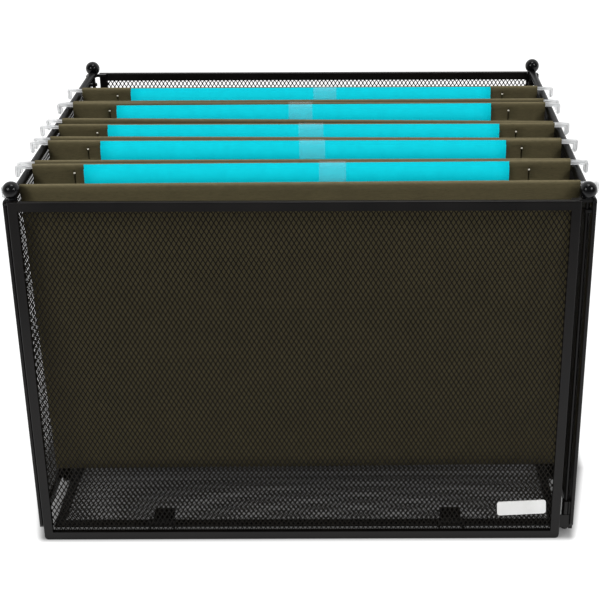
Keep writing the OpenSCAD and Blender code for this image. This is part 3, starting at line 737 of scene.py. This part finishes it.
def tape_strip(k):
    """Tape from the hem's back over its top and down the front leaf, torn off on a toothed edge."""
    back, front = insert_lines(k)
    fold = front_flap(k) + FOLD_BACK
    hem_back = back_flap(k) + HEM_OUT
    top = FOLDER_TOP + TAPE_OFF
    face = front - CARD_T / 2 - TAPE_OFF
    lean = (front - fold) / (FRONT_LEAF_TOP - INSERT_FOOT)
    line = [(hem_back + 0.1, FOLDER_TOP - 2.2), (hem_back + 0.1, FOLDER_TOP - 0.6),
            (hem_back - 0.5, top), (back_flap(k), top + 0.03), (back_flap(k) - 1.2, top),
            (back - 0.6, top), (face + 0.3, FOLDER_TOP - 0.8), (face, FRONT_LEAF_TOP - 0.4)]
    line += [(face - lean * d, FRONT_LEAF_TOP - d) for d in (3, 5.5, 8, TAPE_DROP - 3)]
    columns = 39
    middle = INSERT_SHIFTS[k] + TAPE_SHIFTS[k]
    dice = random.Random(200 + k)
    pucker = [dice.uniform(0, PUCKER) for n in range(columns)]
    points = []
    for n in range(columns):
        x = middle - TAPE_W / 2 + TAPE_W * n / (columns - 1)
        tooth = TOOTH if n % 2 else 0.0
        for i, (y, z) in enumerate(line):
            low = tooth if i == len(line) - 1 else 0
            lift = pucker[n] if 5 < i else 0
            moved = twist(k, True, x, z) if i < 5 else card_twist(k, x, z)
            points.append((x, y - lift + moved, z - low))
    mesh = mesh_of("tape", points, grid_faces(columns, len(line)))
    mesh.transform(askew(k))
    mesh = evaluated(mesh, [("SOLIDIFY", {"thickness": TAPE_T, "offset": 0.0})])
    return finish_piece(f"tape_{k + 1}_strip", mesh, f"folder_{k + 1}",
                        [f"tape_{k + 1}"], TAPE)


for k in range(COUNT):
    folder_board(k)
    folder_rod(k, "front")
    folder_rod(k, "back")
    insert_card(k)
    tape_strip(k)

# ------------------------------------------------------------------ finishes of the CAD nodes

FINISHES = {"label_plate": PLATE, "left_rail": RAIL_STEEL, "right_rail": RAIL_STEEL}
for corner in ("front_left", "front_right", "rear_left", "rear_right"):
    FINISHES[f"ball_{corner}"] = BALL_STEEL
for name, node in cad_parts.items():
    node.data.materials.clear()
    node.data.materials.append(FINISHES.get(name, STEEL))

# ------------------------------------------------------------------ floor, world and lamps


GLOW = 0.9                # strength of the floor's white where it is seen
UNDER, UNDER_BACK = 0.08, 0.016    # the same in the box's shadow, in front and further back
DIM = 0.06                # strength of the studio's dark side in reflections
# Where it is fully dark and where fully light: y on the floor, and y of the direction in the world
FLOOR_DIM_Y = (-0.75, -0.4)
WORLD_DIM_Y = (-0.25, 0.25)
# The box's shadow on the floor, in metres: half its depth, half its width at the front wall and
# further back, where along y it widens and where it darkens, and how soft its edge is
SHADOW_Y = 0.162
SHADOW_X = (0.195, 0.216)
WIDENS_Y = (-0.165, -0.065)
DARKENS_Y = (-0.14, 0.0)
SHADOW_EDGE = 0.009
# The dome of fill: where it is brightest, and how its strength rises towards there
DOME_AXIS = (0, -0.42, 0.91)
DOME_FROM = (-0.6, 1.0)
DOME_LOW, DOME_HIGH = 0.33, 1.0
BOX_MIDDLE = (0, 0, 0.15)


def studio_floor():
    """Pale floor. Seen by the camera or in a reflection it is white, less the object's shadow; to
    all other light it is plain pale paper. Far in front it lies in the dark side of the studio."""
    mesh = mesh_of("studio_floor", [(-3, -3, 0), (3, -3, 0), (3, 3, 0), (-3, 3, 0)], [(0, 1, 2, 3)])
    floor = bpy.data.objects.new("studio_floor", mesh)
    bpy.context.scene.collection.objects.link(floor)
    material = bpy.data.materials.new("white_paper_floor")
    material.use_nodes = True
    tree = material.node_tree
    tree.nodes.clear()
    paper = add(tree, "ShaderNodeBsdfDiffuse", Color=colour("#cccccc"))
    shadow_part = add(tree, "ShaderNodeBsdfDiffuse", Color=(0.3, 0.3, 0.3, 1))
    glow = add(tree, "ShaderNodeEmission", {"Strength": beyond_foot(tree)}, Color=(1, 1, 1, 1))
    seen = add(tree, "ShaderNodeAddShader", {"i0": shadow_part.outputs[0], "i1": glow.outputs[0]})
    choice = add(tree, "ShaderNodeMixShader", {
        "i0": seen_rays(tree), "i1": paper.outputs[0], "i2": seen.outputs[0]})
    add(tree, "ShaderNodeOutputMaterial", {"Surface": choice.outputs[0]})
    mesh.materials.append(material)


def beyond_foot(tree):
    """GLOW beside the box, dimmed in reflections far in front. In the box's shadow it falls from
    UNDER to UNDER_BACK. The shadow widens a little behind the front wall."""
    place = add(tree, "ShaderNodeTexCoord").outputs["Object"]
    ahead = add(tree, "ShaderNodeSeparateXYZ", {"Vector": place}).outputs["Y"]
    half = add(tree, "ShaderNodeMapRange", {"Value": ahead}, From_Min=WIDENS_Y[0],
               From_Max=WIDENS_Y[1], To_Min=SHADOW_X[0], To_Max=SHADOW_X[1]).outputs[0]
    edge = add(tree, "ShaderNodeCombineXYZ", {"X": half}, Y=SHADOW_Y).outputs[0]
    out = add(tree, "ShaderNodeVectorMath", {"i0": place}, operation="ABSOLUTE").outputs[0]
    out = add(tree, "ShaderNodeVectorMath", {"i0": out, "i1": edge},
              operation="SUBTRACT").outputs[0]
    out = add(tree, "ShaderNodeVectorMath", {"i0": out}, operation="MAXIMUM",
              i1=(0, 0, 0)).outputs[0]
    far = add(tree, "ShaderNodeVectorMath", {"i0": out}, operation="LENGTH").outputs["Value"]
    shade = add(tree, "ShaderNodeMapRange", {"Value": ahead}, From_Min=DARKENS_Y[0],
                From_Max=DARKENS_Y[1], To_Min=UNDER, To_Max=UNDER_BACK).outputs[0]
    glow = add(tree, "ShaderNodeMapRange", {"Value": far, "To_Min": shade},
               interpolation_type="SMOOTHSTEP", From_Min=0.0, From_Max=SHADOW_EDGE,
               To_Max=GLOW).outputs[0]
    return add(tree, "ShaderNodeMath", {"i0": glow, "i1": dimmed(tree, ahead, *FLOOR_DIM_Y)},
               operation="MULTIPLY").outputs[0]


def dimmed(tree, along_y, dark, light):
    """1, but for reflected rays DIM where along_y is at dark, rising to 1 at light."""
    fall = add(tree, "ShaderNodeMapRange", {"Value": along_y}, interpolation_type="SMOOTHSTEP",
               From_Min=dark, From_Max=light, To_Min=1 - DIM, To_Max=0.0).outputs[0]
    glossy = add(tree, "ShaderNodeLightPath").outputs["Is Glossy Ray"]
    loss = add(tree, "ShaderNodeMath", {"i0": fall, "i1": glossy}, operation="MULTIPLY").outputs[0]
    return add(tree, "ShaderNodeMath", {"i1": loss}, operation="SUBTRACT", i0=1.0).outputs[0]


def seen_rays(tree):
    """1 for rays from the camera, and for those that gloss reflects or clear plastic passes on."""
    path = add(tree, "ShaderNodeLightPath").outputs
    either = add(tree, "ShaderNodeMath", {
        "i0": path["Is Glossy Ray"], "i1": path["Is Transmission Ray"]}, operation="MAXIMUM")
    return add(tree, "ShaderNodeMath", {"i0": path["Is Camera Ray"], "i1": either.outputs[0]},
               operation="MAXIMUM").outputs[0]


def studio_world():
    """White backdrop behind the box, dark room on the camera's side for reflections, and a soft
    dome of fill that is brightest high up in front."""
    world = bpy.data.worlds.new("studio")
    world.use_nodes = True
    bpy.context.scene.world = world
    tree = world.node_tree
    tree.nodes.clear()
    direction = add(tree, "ShaderNodeTexCoord").outputs["Generated"]
    ahead = add(tree, "ShaderNodeSeparateXYZ", {"Vector": direction}).outputs["Y"]
    toward = add(tree, "ShaderNodeVectorMath", {"i0": direction}, operation="DOT_PRODUCT",
                 i1=DOME_AXIS).outputs["Value"]
    dome = add(tree, "ShaderNodeMapRange", {"Value": toward}, From_Min=DOME_FROM[0],
               From_Max=DOME_FROM[1], To_Min=DOME_LOW, To_Max=DOME_HIGH).outputs[0]
    fill = add(tree, "ShaderNodeBackground", {"Strength": dome}, Color=(1, 1, 1, 1))
    white = add(tree, "ShaderNodeBackground", {"Strength": dimmed(tree, ahead, *WORLD_DIM_Y)},
                Color=(1, 1, 1, 1))
    choice = add(tree, "ShaderNodeMixShader", {
        "i0": seen_rays(tree), "i1": fill.outputs[0], "i2": white.outputs[0]})
    add(tree, "ShaderNodeOutputWorld", {"Surface": choice.outputs[0]})


def softbox(name, azimuth, elevation, distance, side, power):
    """A square soft lamp that looks at the middle of the box. Azimuth 0 is in front."""
    lamp = bpy.data.lights.new(name, "AREA")
    lamp.shape = "SQUARE"
    lamp.size = side
    lamp.energy = power
    a, e = math.radians(azimuth), math.radians(elevation)
    away = Vector((math.sin(a) * math.cos(e), -math.cos(a) * math.cos(e), math.sin(e)))
    thing = bpy.data.objects.new(name, lamp)
    bpy.context.scene.collection.objects.link(thing)
    thing.rotation_mode = "QUATERNION"
    thing.rotation_quaternion = away.to_track_quat("Z", "Y")
    thing.location = Vector(BOX_MIDDLE) + away * distance


studio_floor()
studio_world()
softbox("softbox_left", azimuth=-37, elevation=30, distance=1.6, side=0.36, power=5)
softbox("softbox_right", azimuth=44, elevation=34, distance=1.6, side=0.36, power=5)
softbox("softbox_top", azimuth=20, elevation=82, distance=1.7, side=0.55, power=6)
